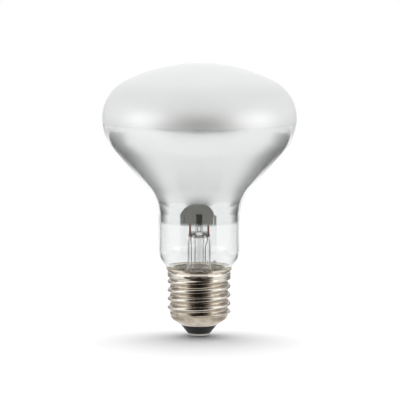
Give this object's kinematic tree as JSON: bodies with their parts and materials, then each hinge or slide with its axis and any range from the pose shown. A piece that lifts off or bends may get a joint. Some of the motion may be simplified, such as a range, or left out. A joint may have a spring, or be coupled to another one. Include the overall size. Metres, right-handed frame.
{
  "type": "reflector bulb",
  "caption": "Mushroom-shaped reflector bulb: frosted dome, mirrored bowl, clear neck showing a glass stem, and a rolled screw cap with a black insulator.",
  "frame": {"origin": "middle of the contact's flat face, at the bottom of the cap", "axes": "+Z along the bulb's axis from the cap to the dome; the view of the picture looks along +Y"},
  "size_m": [0.08, 0.08, 0.1126],
  "materials": {
    "clear_glass": "blown, clear",
    "mirror_film": "aluminium film",
    "plated_brass": "nickel plated",
    "black_glass": "pressed glass",
    "cement": "baked cement",
    "copper_wire": "drawn wire",
    "nickel_wire": "drawn wire",
    "tungsten": "drawn wire",
    "solder": "soft solder"
  },
  "bodies": {
    "root": {"glass_bulb": "clear_glass", "mirror_coat": "mirror_film", "stem": "clear_glass", "exhaust_tube": "clear_glass", "arbor": "clear_glass", "seal_wire_left": "copper_wire", "seal_wire_right": "copper_wire", "lead_wire_left": "nickel_wire", "lead_wire_right": "nickel_wire", "outer_lead_centre": "copper_wire", "outer_lead_side": "copper_wire", "filament": "tungsten", "support_wire_1": "nickel_wire", "support_wire_2": "nickel_wire", "support_wire_3": "nickel_wire", "screw_shell": "plated_brass", "insulator": "black_glass", "centre_contact": "plated_brass", "cap_cement": "cement", "side_solder": "solder", "tip_solder": "solder"}
  },
  "joints": []
}
